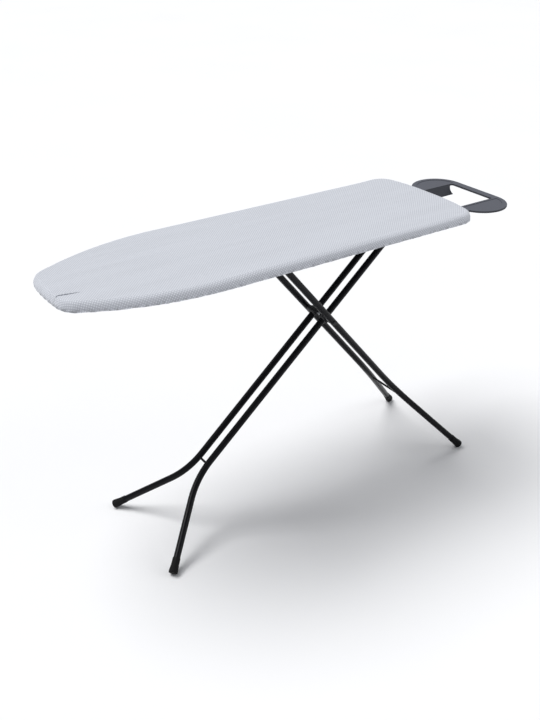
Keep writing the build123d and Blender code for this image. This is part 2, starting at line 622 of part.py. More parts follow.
# ---------------------------------------------------------------- write every piece
def main():
    os.makedirs("parts", exist_ok=True)
    pieces = {
        "cover": make_cover(),
        "pad": make_pad(),
        "hem_elastic": make_elastic(),
        "top_sheet": make_sheet(),
        "rim_channel": make_rim(),
        "hinge_bracket": make_bracket(),
        "rail_right": make_rail(1),
        "rail_left": make_rail(-1),
        "rest_plate": make_rest_plate(),
        "rest_arm_right": make_rest_arm(1),
        "rest_arm_left": make_rest_arm(-1),
    }
    for name, x in RIB_PLACES.items():
        pieces[name] = make_rib(x)
    for side in (1, -1):
        hole = Pos(SCREW_X, side * SCREW_Y, SHEET_BOTTOM - RIB_DEPTH)
        pieces["rib_heel"] -= hole * Cylinder(SCREW_HOLE_RADIUS, 4)
    pieces["rest_screws"], pieces["rest_spacers"] = make_rest_fasteners()

    ear_outer = EAR_INNER + EAR_THICK
    pin = cylinder_y(HINGE_X, MECHANISM_Z, -ear_outer - 0.1, ear_outer + 0.1, AXLE_RADIUS)
    for ring in ring_pair(HINGE_X, MECHANISM_Z, ear_outer + 0.1, ear_outer + 3, PIN_HEAD_RADIUS, 1):
        pin += ring
    pieces["hinge_pin"] = pin
    sleeve_half = EAR_INNER - 2
    bore = AXLE_RADIUS + FIT
    pieces["hinge_washers"] = group(
        ring_pair(HINGE_X, MECHANISM_Z, sleeve_half + 0.2, EAR_INNER - 0.2, HINGE_WASHER_RADIUS, bore))
    pieces["inner_sleeve"] = ring_y(
        HINGE_X, MECHANISM_Z, -sleeve_half, sleeve_half, SLEEVE_RADIUS - 0.02, bore)

    right_pieces = {
        "inner_leg": make_inner_leg(),
        "inner_foot": make_cap(A_LINE),
        "pivot_boss": make_boss(),
        "outer_leg": make_outer_leg(),
        "outer_foot": make_cap(B_LINE),
    }
    for name, piece in right_pieces.items():
        pieces[f"{name}_right"] = piece
        pieces[f"{name}_left"] = mirrored(piece)
    pieces["inner_brace"] = make_brace(A_LINE, A_BEND_RADIUS, A_UPPER + A_BRACE_AT)
    pieces["outer_brace"] = make_brace(B_LINE, B_BEND_RADIUS, B_UPPER + TUBE_END_PAST + B_BRACE_AT)
    pieces["outer_leg_plugs"] = make_plugs()

    x, z = PIVOT
    tube_face = B_HALF_GAP + TUBE_RADIUS
    pieces["pivot_axle"] = cylinder_y(x, z, -tube_face - AXLE_PAST, tube_face + AXLE_PAST, AXLE_RADIUS)
    boss_face = A_HALF_GAP + 12
    pieces["pivot_collars"] = group(
        ring_pair(x, z, boss_face, B_HALF_GAP - TUBE_RADIUS - 0.3, COLLAR_RADIUS, bore))
    nut = cylinder_y(x, z, tube_face + 0.2, tube_face + 0.2 + HEAD_THICK, HEAD_RADIUS)
    nut = fillet(nut.edges().filter_by(GeomType.CIRCLE).sort_by(Axis.Y)[-1], HEAD_ROUND)
    nut -= cylinder_y(x, z, tube_face, tube_face + AXLE_PAST + FIT, bore)
    pieces["pivot_nuts"] = group([nut, mirrored(nut)])

    rail_face = RAIL_Y + RAIL_THICK
    pieces["slide_rod"] = cylinder_y(ROD_X, MECHANISM_Z, -rail_face - 7, LATCH_Y[1] - 5.5, AXLE_RADIUS)
    washers = ring_pair(ROD_X, MECHANISM_Z, tube_face + 0.3, RAIL_Y - 0.4, WASHER_RADIUS, bore)
    washers += ring_pair(ROD_X, MECHANISM_Z, rail_face + 0.4, rail_face + 2, WASHER_RADIUS, bore)
    pieces["slide_washers"] = group(washers)
    pieces["rod_clip"] = ring_y(ROD_X, MECHANISM_Z, -rail_face - 5, -rail_face - 2.2, CLIP_RADIUS, bore)

    pieces["latch_housing"] = make_latch_housing()
    pieces["lever_pin"] = make_lever_pin()
    pieces["lever_spring"] = make_lever_spring()
    pieces["height_lever"] = make_lever()
    pieces["lever_grip"] = make_grip()
    for name, piece in pieces.items():
        save(piece, name)


main()
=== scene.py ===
"""Finishes for a folding ironing board: cover, foam, coated steel, rubber feet and a plain studio."""

import json
import math

import bmesh
import bpy
import numpy as np
from bpy.props import FloatProperty, FloatVectorProperty, IntProperty, PointerProperty
from mathutils import Matrix, Vector, noise


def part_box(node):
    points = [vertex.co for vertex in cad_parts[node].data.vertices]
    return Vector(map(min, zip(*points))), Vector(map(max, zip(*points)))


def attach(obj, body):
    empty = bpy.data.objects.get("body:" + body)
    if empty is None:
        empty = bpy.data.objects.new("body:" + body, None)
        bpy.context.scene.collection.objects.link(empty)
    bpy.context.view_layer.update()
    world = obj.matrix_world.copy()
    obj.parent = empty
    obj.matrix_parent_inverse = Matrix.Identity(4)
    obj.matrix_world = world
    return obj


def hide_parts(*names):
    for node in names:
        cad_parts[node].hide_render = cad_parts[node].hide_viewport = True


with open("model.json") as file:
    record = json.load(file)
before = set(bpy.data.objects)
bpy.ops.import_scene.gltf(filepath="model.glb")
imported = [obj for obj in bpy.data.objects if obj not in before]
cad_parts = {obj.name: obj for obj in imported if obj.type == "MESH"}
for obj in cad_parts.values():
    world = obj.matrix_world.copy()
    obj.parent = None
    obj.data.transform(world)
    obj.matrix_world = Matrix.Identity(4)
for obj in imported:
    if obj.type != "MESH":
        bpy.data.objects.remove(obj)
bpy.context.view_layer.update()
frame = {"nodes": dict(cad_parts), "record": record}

bl_info = {
    "name": "Ironing Board Finishes",
    "version": (1, 0, 0),
    "blender": (4, 5, 0),
    "location": "View3D > Sidebar > Ironing Board",
    "description": "Builds the soft pieces and finishes of a folding ironing board around its packed frame",
    "category": "Object",
}

MM = 0.001
NODES = frame["nodes"]
COVER_LOW, COVER_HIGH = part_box("cover")
SIDE_MIDDLE = (COVER_LOW.z + COVER_HIGH.z) / 2
# The nose tuck, as places from the nose's end and from the board's middle line.
TUCK_START = (7 * MM, -47 * MM)
TUCK_END = (56 * MM, -57 * MM)
HEM_STITCH_PITCH = 4.2 * MM
HEM_STITCH_INSET = 31.5 * MM
KEY_AIM, KEY_SPREAD = (0.30, -0.30, -1.0), 40
FILL_AIM, FILL_SPREAD = (-0.75, 0.50, -0.50), 35


def colour(code):
    """Linear red, green, blue and alpha of an sRGB hex value."""
    channels = [int(code[i:i + 2], 16) / 255 for i in (0, 2, 4)]
    linear = [c / 12.92 if c <= 0.04045 else ((c + 0.055) / 1.055) ** 2.4 for c in channels]
    return (*linear, 1.0)


def tint(name, description, code):
    """A colour property of the panel with its default."""
    return FloatVectorProperty(
        name=name, description=description, subtype="COLOR", size=4, min=0, max=1, default=colour(code))


def length(name, description, default):
    return FloatProperty(
        name=name, description=description, default=default, min=0, unit="LENGTH", precision=4)


# ------------------------------------------------------------------ settings
class CoverSettings(bpy.types.PropertyGroup):
    """Cloth, foam and elastic of the covered top."""
    cotton: tint("Cotton", "Ground colour of the cover", "bfc2ca")
    dots: tint("Dots", "Printed dots of the cover", "dde0e6")
    foam: tint("Foam", "Colour of the pad", "e6e1d4")
    elastic: tint("Elastic", "Colour of the hem elastic and the thread", "e9eaec")
    dot_pitch: length("Dot pitch", "Distance between neighbouring printed dots", 4.8 * MM)
    thread_pitch: length("Thread pitch", "Distance between the drawn threads", 1.3 * MM)
    voxel: length("Cell", "Edge length of the cover's quads", 4.0 * MM)
    cloth: length("Cloth thickness", "Thickness of the cover", 1.1 * MM)
    hem: length("Hem", "Width turned under the board", 43.0 * MM)
    pucker: length("Pucker", "Depth of the folds down the side", 1.7 * MM)
    gather: length("Gather", "Depth of the folds along the hem", 2.2 * MM)
    fold: length("Fold spacing", "Distance between neighbouring gathers of the hem", 21.0 * MM)
    swell: length("Swell", "How far the foam may push the cloth out", 1.0 * MM)
    lump: length("Lumps", "Height of the loose lumps low on the side", 1.5 * MM)
    scallop: length("Scallops", "How far the lower edge hangs between gathers", 1.6 * MM)
    pressure: FloatProperty(
        name="Pressure", description="Push of the foam on the cloth", default=4.0, min=0)
    frames: IntProperty(name="Frames", description="Steps of the cloth simulation", default=20, min=2)


class CoatSettings(bpy.types.PropertyGroup):
    """Finishes of the steel, rubber and plastic pieces."""
    tube: tint("Tubes", "Powder coat of the legs", "0f0f13")
    frame_coat: tint("Frame", "Coat of the steel under the cover", "2c2c2f")
    rest: tint("Iron rest", "Powder coat of the iron rest", "3c3e45")
    # Painted light: the rest's upward faces take this paler tone because they face the light; the coat is
    # not rubbed there.
    rest_painted_top_light: tint("Iron rest, top", "Paler, rubbed coat on the rest's upper faces", "5c5e66")
    rubber: tint("Rubber", "Leg caps", "121213")
    nylon: tint("Nylon", "Bosses, washers and latch housing", "17171a")
    zinc: tint("Zinc", "Plated fasteners and rods", "c3c6c9")
    vinyl: tint("Vinyl", "Sleeve on the height lever", "1c1c1e")


class StudioSettings(bpy.types.PropertyGroup):
    """Camera, floor and lights."""
    azimuth: FloatProperty(
        name="Azimuth", description="Direction the camera looks in, from +Y towards +X",
        default=math.radians(34.332), subtype="ANGLE")
    elevation: FloatProperty(
        name="Elevation", description="How steeply the camera looks down",
        default=math.radians(29.297), subtype="ANGLE")
    place: FloatVectorProperty(
        name="Place", description="Where the camera stands", default=(-1.1748, -1.6259, 1.5027),
        subtype="TRANSLATION", unit="LENGTH")
    lens: FloatProperty(name="Lens", description="Focal length in millimetres", default=44.566, min=1)
    floor: tint("Floor", "Colour of the floor", "f3f3f4")
    key: FloatProperty(name="Key", description="Strength of the main soft light", default=2.7, min=0)
    fill: FloatProperty(name="Fill", description="Strength of the opposite soft light", default=0.4, min=0)
    sky: FloatProperty(name="Surround", description="Strength of the even surround", default=0.3, min=0)


# ------------------------------------------------------------------ nodes and materials
def node(tree, kind, inputs=None, **settings):
    """Adds a shader node with its own settings, and values or links for its inputs."""
    made = tree.nodes.new("ShaderNode" + kind)
    for name, value in settings.items():
        setattr(made, name, value)
    for name, value in (inputs or {}).items():
        if isinstance(value, bpy.types.NodeSocket):
            tree.links.new(value, made.inputs[name])
        else:
            made.inputs[name].default_value = value
    return made


def finish_of(name, constants):
    """A new material with one Principled shader, and the constants on its sockets."""
    material = bpy.data.materials.new(name)
    material.use_nodes = True
    tree = material.node_tree
    tree.nodes.clear()
    shader = node(tree, "BsdfPrincipled", constants)
    node(tree, "OutputMaterial", {"Surface": shader.outputs["BSDF"]})
    return material, tree, shader


def grains(tree, place, size, detail=3.0, roughness=0.55, stretch=(1, 1, 1)):
    """Soft noise whose blotches are about size metres across."""
    scaled = node(tree, "Mapping", {"Vector": place, "Scale": [s / size for s in stretch]})
    return node(tree, "TexNoise", {
        "Vector": scaled.outputs["Vector"], "Scale": 1.0, "Detail": detail, "Roughness": roughness})


def spread(tree, value, low, high, start=0.3, end=0.7):
    """Maps a value between start and end onto low to high."""
    return node(tree, "MapRange", {
        "Value": value, "From Min": start, "From Max": end, "To Min": low, "To Max": high}).outputs["Result"]


def shade(tree, base, other, share):
    """Mixes two colours; each may be a value or a link."""
    mix = node(tree, "Mix", {0: share, 6: base, 7: other}, data_type="RGBA")
    return mix.outputs[2]


def relief(tree, height, distance, strength=1.0, below=None):
    inputs = {"Height": height, "Distance": distance, "Strength": strength}
    if below:
        inputs["Normal"] = below
    return node(tree, "Bump", inputs).outputs["Normal"]


def object_place(tree):
    return node(tree, "TexCoord").outputs["Object"]


def printed_cotton(settings):
    """Printed cotton twill: matt and slightly fuzzy, with small white dots on pale blue grey."""
    material, tree, shader = finish_of("printed_cotton_twill", {
        "Roughness": 0.86, "Specular IOR Level": 0.25, "Sheen Weight": 0.25, "Sheen Roughness": 0.5})
    cut = node(tree, "UVMap", uv_map="flat_cut").outputs["UV"]
    place = object_place(tree)
    # Staggered dots: a square lattice turned by 45 degrees.
    lattice = node(tree, "Mapping", {
        "Vector": cut, "Rotation": (0, 0, math.radians(45)), "Scale": [1 / settings.dot_pitch] * 3})
    dots = node(tree, "TexVoronoi", {
        "Vector": lattice.outputs["Vector"], "Scale": 1.0, "Randomness": 0.0}, voronoi_dimensions="2D")
    printed = spread(tree, dots.outputs["Distance"], 1.0, 0.0, 0.24, 0.38)
    # Slack bands along the board, a hand's breadth long, where the cloth sits a little off the foam. They
    # bump the cloth, and the ground colour follows them as painted shade, up to 7 per cent darker.
    bands = grains(tree, place, 26 * MM, 2.0, 0.5, (0.12, 1, 1)).outputs["Fac"]
    ground = shade(tree, [0.93 * c for c in settings.cotton[:3]] + [1], list(settings.cotton),
                   spread(tree, bands, 0.0, 1.0))
    tone = shade(tree, ground, list(settings.dots), printed)
    # Undyed slubs: threads that took less colour.
    slubs = grains(tree, place, 2.2 * MM, 1.0, 0.5, (0.18, 1, 1)).outputs["Fac"]
    tone = shade(tree, tone, list(settings.dots), spread(tree, slubs, 0.0, 0.35, 0.58, 0.8))
    # Painted shade: gathered cloth low on the side is folded on itself, and its shadow is painted into the
    # colour as darker blotches towards the bottom edge.
    height = node(tree, "SeparateXYZ", {"Vector": place}).outputs["Z"]
    low = spread(tree, height, 1.0, 0.0, COVER_LOW.z + 1 * MM, COVER_LOW.z + 11 * MM)
    fold_shade_blotches = spread(tree, grains(tree, place, 9 * MM, 3.0, 0.6).outputs["Fac"], 0.0, 1.0, 0.42, 0.60)
    held = node(tree, "Math", {0: low, 1: fold_shade_blotches}, operation="MULTIPLY").outputs["Value"]
    tone = shade(tree, tone, [0.42 * c for c in settings.cotton[:3]] + [1], held)
    tree.links.new(tone, shader.inputs["Base Color"])
    # Real threads lie about 0.4 mm apart; they are drawn coarser so that they show.
    warp = node(tree, "TexWave", {
        "Vector": cut, "Scale": 0.314 / settings.thread_pitch, "Distortion": 0.6, "Detail": 1.0,
        "Detail Scale": 2.0}, bands_direction="X")
    weft = node(tree, "TexWave", {
        "Vector": cut, "Scale": 0.314 / settings.thread_pitch, "Distortion": 0.6, "Detail": 1.0,
        "Detail Scale": 2.0}, bands_direction="Y")
    weave = node(tree, "Math", {0: warp.outputs["Fac"], 1: weft.outputs["Fac"]}, operation="MULTIPLY")
    slack = relief(tree, bands, 1.3 * MM, 0.7)
    threads = relief(tree, weave.outputs["Value"], 0.12 * MM, 0.5, slack)
    tree.links.new(threads, shader.inputs["Normal"])
    return material


def cut_foam(settings):
    """Open-celled polyurethane foam: chalky, with fine round cells."""
    material, tree, shader = finish_of("open_cell_foam", {"Roughness": 0.95, "Specular IOR Level": 0.2})
    place = object_place(tree)
    cells = node(tree, "TexVoronoi", {"Vector": place, "Scale": 1 / (0.9 * MM)})
    tone = shade(tree, [0.82 * c for c in settings.foam[:3]] + [1], list(settings.foam),
                 spread(tree, cells.outputs["Distance"], 0.0, 1.0, 0.0, 0.6))
    tree.links.new(tone, shader.inputs["Base Color"])
    tree.links.new(relief(tree, cells.outputs["Distance"], 0.3 * MM, 0.6), shader.inputs["Normal"])
    return material


def braided_elastic(settings):
    """Braided rubber-cored elastic: ribbed across, slightly shiny yarn."""
    material, tree, shader = finish_of("braided_elastic", {"Roughness": 0.7, "Sheen Weight": 0.2})
    run = node(tree, "UVMap", uv_map="flat_cut").outputs["UV"]
    ribs = node(tree, "TexWave", {"Vector": run, "Scale": 0.314 / (1.5 * MM), "Distortion": 0.4},
                bands_direction="DIAGONAL")
    tone = shade(tree, [0.72 * c for c in settings.elastic[:3]] + [1], list(settings.elastic),
                 ribs.outputs["Fac"])
    tree.links.new(tone, shader.inputs["Base Color"])
    tree.links.new(relief(tree, ribs.outputs["Fac"], 0.25 * MM, 0.7), shader.inputs["Normal"])
    return material


def spun_thread(settings):
    """Polyester sewing thread: twisted, with a soft shine."""
    material, tree, shader = finish_of("polyester_thread", {"Roughness": 0.55, "Sheen Weight": 0.3})
    place = object_place(tree)
    twist = node(
        tree, "TexWave", {"Vector": place, "Scale": 0.314 / (0.6 * MM)}, bands_direction="DIAGONAL")
    tone = shade(tree, [0.6 * c for c in settings.elastic[:3]] + [1], list(settings.elastic),
                 twist.outputs["Fac"])
    tree.links.new(tone, shader.inputs["Base Color"])
    tree.links.new(relief(tree, twist.outputs["Fac"], 0.08 * MM), shader.inputs["Normal"])
    return material


def powder_coat(name, tone, roughness, peel, depth, speck=0.12, gloss=0.5, upper=None):
    """Baked powder coat: an even film with orange peel; a given upper tone is painted light on the faces
    that point up.
    """
    material, tree, shader = finish_of(name, {"Specular IOR Level": gloss})
    place = object_place(tree)
    film = grains(tree, place, 45 * MM, 4.0).outputs["Fac"]
    skin = grains(tree, place, peel, 2.0, 0.6).outputs["Fac"]
    lighter = [min(1.0, c * (1 + 3 * speck) + 0.002) for c in tone[:3]] + [1]
    deeper = [c * (1 - speck) for c in tone[:3]] + [1]
    ground = shade(tree, deeper, list(tone), spread(tree, film, 0.0, 1.0))
    ground = shade(tree, ground, lighter, spread(tree, skin, 0.0, 0.8, 0.56, 0.78))
    # Painted light: faces that point up are mixed towards the upper tone, as if lit from above.
    if upper:
        normal = node(tree, "TexCoord").outputs["Normal"]
        facing = node(tree, "SeparateXYZ", {"Vector": normal}).outputs["Z"]
        ground = shade(tree, ground, list(upper), spread(tree, facing, 0.0, 1.0, 0.65, 0.95))
    tree.links.new(ground, shader.inputs["Base Color"])
    tree.links.new(spread(tree, film, roughness - 0.05, roughness + 0.06), shader.inputs["Roughness"])
    tree.links.new(relief(tree, skin, depth, 0.6), shader.inputs["Normal"])
    return material


def moulded_rubber(tone):
    """Moulded rubber: matt black, greyed by floor dust near the rim and finely scuffed."""
    material, tree, shader = finish_of("moulded_rubber", {"Specular IOR Level": 0.2})
    place = object_place(tree)
    height = node(tree, "SeparateXYZ", {"Vector": place}).outputs["Z"]
    scuffs = grains(tree, place, 3.5 * MM, 5.0, 0.65).outputs["Fac"]
    near_floor = spread(tree, height, 1.0, 0.0, 1.0 * MM, 9.0 * MM)
    dust = node(tree, "Math", {0: near_floor, 1: scuffs}, operation="MULTIPLY").outputs["Value"]
    tree.links.new(shade(tree, list(tone), colour("3a3937"), dust), shader.inputs["Base Color"])
    tree.links.new(spread(tree, scuffs, 0.62, 0.85), shader.inputs["Roughness"])
    grain = grains(tree, place, 0.8 * MM, 2.0).outputs["Fac"]
    tree.links.new(relief(tree, grain, 0.06 * MM, 0.6), shader.inputs["Normal"])
    return material


def moulded_plastic(name, tone, roughness, grain_size):
    """Injection-moulded plastic: spark-eroded grain and faint flow lines."""
    material, tree, shader = finish_of(name, {"Specular IOR Level": 0.3})
    place = object_place(tree)
    grain = grains(tree, place, grain_size, 2.0).outputs["Fac"]
    flow = grains(tree, place, 14 * MM, 3.0, 0.5, (1, 0.3, 1)).outputs["Fac"]
    brighter = [min(1.0, 1.5 * c + 0.002) for c in tone[:3]] + [1]
    ground = shade(tree, list(tone), brighter, spread(tree, flow, 0.0, 1.0))
    tree.links.new(ground, shader.inputs["Base Color"])
    tree.links.new(spread(tree, flow, roughness - 0.06, roughness + 0.06), shader.inputs["Roughness"])
    tree.links.new(relief(tree, grain, 0.05 * MM, 0.6), shader.inputs["Normal"])
    return material


def zinc_plate(tone):
    """Bright zinc plating on steel: small soft spangles and drawn marks."""
    material, tree, shader = finish_of("zinc_plated_steel", {"Metallic": 1.0})
    place = object_place(tree)
    spangle = node(tree, "TexVoronoi", {"Vector": place, "Scale": 1 / (2.2 * MM)}).outputs["Color"]
    level = node(tree, "SeparateColor", {"Color": spangle}).outputs["Red"]
    duller = [0.78 * c for c in tone[:3]] + [1]
    tree.links.new(shade(tree, duller, list(tone), level), shader.inputs["Base Color"])
    tree.links.new(spread(tree, level, 0.26, 0.42, 0.0, 1.0), shader.inputs["Roughness"])
    marks = grains(tree, place, 0.7 * MM, 2.0, 0.5, (1, 0.1, 1)).outputs["Fac"]
    tree.links.new(relief(tree, marks, 0.02 * MM, 0.5), shader.inputs["Normal"])
    return material


def painted_floor(tone):
    """Matt painted studio floor."""
    material, tree, shader = finish_of("studio_floor", {"Roughness": 0.9, "Specular IOR Level": 0.1})
    place = object_place(tree)
    cloud = grains(tree, place, 0.9, 2.0).outputs["Fac"]
    paler = [min(1.0, 1.015 * c) for c in tone[:3]] + [1]
    ground = shade(tree, list(tone), paler, spread(tree, cloud, 0.0, 1.0))
    tree.links.new(ground, shader.inputs["Base Color"])
    return material


# ------------------------------------------------------------------ mesh helpers
def to_piece(bm, name, material, smooth=True):
    """Writes a bmesh out as a new object at the origin."""
    mesh = bpy.data.meshes.new(name)
    bm.to_mesh(mesh)
    bm.free()
    mesh.materials.append(material)
    mesh.polygons.foreach_set("use_smooth", [smooth] * len(mesh.polygons))
    piece = bpy.data.objects.new(name, mesh)
    bpy.context.scene.collection.objects.link(piece)
    return piece


def points_of(mesh):
    flat = np.zeros(3 * len(mesh.vertices), np.float32)
    mesh.vertices.foreach_get("co", flat)
    return flat.reshape(-1, 3).astype(float)


def set_points(mesh, points):
    mesh.vertices.foreach_set("co", points.astype(np.float32).ravel())
    mesh.update()


def ease(value, start, end):
    """Smooth step from 0 at start to 1 at end."""
    share = np.clip((value - start) / (end - start), 0, 1)
    return share * share * (3 - 2 * share)


def waves(points, sizes, seed):
    """Smooth noise from -1 to 1 at each point, with its own size along each axis."""
    shift = Vector((seed, 2 * seed, 3 * seed))
    scale = [1 / size for size in sizes]
    return np.array([noise.noise(Vector(a * b for a, b in zip(p, scale)) + shift) for p in points])


def whole_hull(name):
    """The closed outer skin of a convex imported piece."""
    bm = bmesh.new()
    bm.from_mesh(NODES[name].data)
    bmesh.ops.remove_doubles(bm, verts=bm.verts, dist=0.01 * MM)
    made = bmesh.ops.convex_hull(bm, input=bm.verts, use_existing_faces=False)
    spare = [v for v in made["geom_interior"] if isinstance(v, bmesh.types.BMVert)]
    bmesh.ops.delete(bm, geom=spare, context="VERTS")
    loose = [v for v in bm.verts if not v.link_faces]
    bmesh.ops.delete(bm, geom=loose, context="VERTS")
    bmesh.ops.recalc_face_normals(bm, faces=bm.faces)
    return bm


class BoardEdge:
    """The board's edge seen from above, with the nearest point, run and inset of any place."""

    def __init__(self):
        bm = whole_hull("cover")
        bmesh.ops.bisect_plane(
            bm, geom=[*bm.verts, *bm.edges, *bm.faces], plane_co=(0, 0, SIDE_MIDDLE), plane_no=(0, 0, 1),
            clear_inner=True, clear_outer=True)
        bmesh.ops.remove_doubles(bm, verts=bm.verts, dist=0.2 * MM)
        ring = np.array([v.co.xy for v in bm.verts], float)
        bm.free()
        centre = ring.mean(0)
        order = np.argsort(np.arctan2(ring[:, 1] - centre[1], ring[:, 0] - centre[0]))
        self.ring = ring[order]
        self.step = np.roll(self.ring, -1, 0) - self.ring
        self.reach = np.linalg.norm(self.step, axis=1)
        self.start = np.concatenate([[0], np.cumsum(self.reach)[:-1]])
        self.around = self.reach.sum()
        faces = np.stack([self.step[:, 1], -self.step[:, 0]], 1) / self.reach[:, None]
        corners = faces + np.roll(faces, 1, 0)
        self.normal = corners / np.linalg.norm(corners, axis=1)[:, None]
        x, y = self.ring.T
        self.area = 0.5 * float(np.sum(x * np.roll(y, -1) - y * np.roll(x, -1)))

    def near(self, places):
        """Foot on the edge, outward direction, inset (positive inside) and run of each place."""
        found = []
        for part in np.array_split(places, max(1, len(places) // 4000)):
            away = part[:, None, :] - self.ring[None]
            share = np.clip((away * self.step).sum(2) / self.reach**2, 0, 1)
            gap = np.linalg.norm(away - share[..., None] * self.step, axis=2)
            found.append(np.stack([gap.argmin(1), share[np.arange(len(part)), gap.argmin(1)]], 1))
        index, share = np.concatenate(found).T
        index = index.astype(int)
        foot = self.ring[index] + share[:, None] * self.step[index]
        after = self.normal[(index + 1) % len(self.ring)]
        out = self.normal[index] * (1 - share[:, None]) + after * share[:, None]
        out /= np.linalg.norm(out, axis=1)[:, None]
        offset = foot - places
        inset = np.linalg.norm(offset, axis=1) * np.where((offset * out).sum(1) < 0, -1, 1)
        return foot, out, inset, self.start[index] + share * self.reach[index]

    def at(self, run):
        """Point and outward direction at a run along the edge."""
        run = run % self.around
        index = int(np.searchsorted(self.start, run, side="right")) - 1
        share = (run - self.start[index]) / self.reach[index]
        out = self.normal[index] * (1 - share) + self.normal[(index + 1) % len(self.ring)] * share
        return self.ring[index] + share * self.step[index], out / np.linalg.norm(out)


EDGE = BoardEdge()
TOP_ROUND = 12 * MM  # radius over the top edge
LOW_ROUND = 6.5 * MM  # radius where the side turns under
TOP_TURN = TOP_ROUND * math.pi / 2
SIDE_DROP = (COVER_HIGH.z - COVER_LOW.z) - TOP_ROUND - LOW_ROUND
LOW_TURN = LOW_ROUND * math.pi / 2


def flat_cut(points):
    """Where each point of the cover lay in the flat cloth: the edge and hem unroll outwards."""
    foot, out, inset, _ = EDGE.near(points[:, :2])
    drop = COVER_HIGH.z - points[:, 2]
    over_top = TOP_ROUND * np.arccos(np.clip(1 - drop / TOP_ROUND, -1, 1))
    down_side = TOP_TURN + (drop - TOP_ROUND)
    turning = np.clip((drop - TOP_ROUND - SIDE_DROP) / LOW_ROUND, 0, 1)
    under = TOP_TURN + SIDE_DROP + LOW_ROUND * np.arcsin(turning)
    hem = TOP_TURN + SIDE_DROP + LOW_TURN + (inset - LOW_ROUND)
    run = np.where(drop < TOP_ROUND, over_top, np.where(turning <= 0, down_side, under))
    run = np.where((turning > 0.9) & (inset > LOW_ROUND), hem, run)
    unrolled = foot + out * (run - TOP_ROUND)[:, None]
    on_top = (inset > TOP_ROUND) & (drop < TOP_ROUND)
    return np.where(on_top[:, None], points[:, :2], unrolled)


def give_cut(mesh, cut):
    """Stores the flat cloth's coordinates, in metres, as the piece's UV map."""
    layer = mesh.uv_layers.new(name="flat_cut")
    corners = np.zeros(len(mesh.loops), np.int32)
    mesh.loops.foreach_get("vertex_index", corners)
    layer.data.foreach_set("uv", cut[corners].astype(np.float32).ravel())


def applied(piece):
    """Puts the result of a piece's modifiers into its mesh and takes them off."""
    evaluated = piece.evaluated_get(bpy.context.evaluated_depsgraph_get())
    mesh = bpy.data.meshes.new_from_object(evaluated)
    piece.modifiers.clear()
    piece.data = mesh
    return piece


def even_quads(piece, cell):
    """Remeshes a closed piece into even quads."""
    remesh = piece.modifiers.new("Even", "REMESH")
    remesh.mode = "VOXEL"
    remesh.voxel_size = cell
    remesh.use_smooth_shade = True
    return applied(piece)


def press_out(piece, settings, held, gathered, reach):
    """A short cloth simulation: the foam pushes the cloth out, each point no further than its reach."""
    before = points_of(piece.data)
    outward = np.array([v.normal for v in piece.data.vertices], float)
    piece.vertex_groups.new(name="held")
    piece.vertex_groups.new(name="gathered")
    for name, weights in (("held", held), ("gathered", gathered)):
        group = piece.vertex_groups[name]
        for level in np.unique(np.round(weights, 1)):
            if level > 0:
                group.add(np.flatnonzero(np.round(weights, 1) == level).tolist(), float(level), "REPLACE")
    modifier = piece.modifiers.new("Cloth", "CLOTH")
    cloth = modifier.settings
    cloth.quality = 4
    cloth.mass = 0.25
    cloth.tension_stiffness = 12
    cloth.compression_stiffness = 12
    cloth.bending_stiffness = 1.0
    cloth.use_pressure = True
    cloth.uniform_pressure_force = settings.pressure
    cloth.effector_weights.gravity = 0
    cloth.vertex_group_mass = "held"
    cloth.vertex_group_shrink = "gathered"
    cloth.shrink_min = 0.0
    cloth.shrink_max = -0.10
    modifier.collision_settings.use_collision = False
    modifier.point_cache.frame_start = 1
    modifier.point_cache.frame_end = settings.frames
    for step in range(1, settings.frames + 1):
        bpy.context.scene.frame_set(step)
    evaluated = piece.evaluated_get(bpy.context.evaluated_depsgraph_get())
    after = points_of(evaluated.data)
    piece.modifiers.clear()
    piece.vertex_groups.clear()
    bpy.context.scene.frame_set(1)
    move = after - before
    # The steel edge is behind the cloth, so nothing goes inwards.
    move -= outward * np.minimum(0, (move * outward).sum(1))[:, None]
    far = np.linalg.norm(move, axis=1)
    soft = reach * np.tanh(far / reach)
    set_points(piece.data, before + move * (soft / np.maximum(far, 1e-9))[:, None])


# ------------------------------------------------------------------ soft pieces
def thicken(piece, thickness):
    """Gives cloth its wall, inwards from the modelled face."""
    wall = piece.modifiers.new("Cloth wall", "SOLIDIFY")
    wall.thickness = thickness
    wall.offset = -1


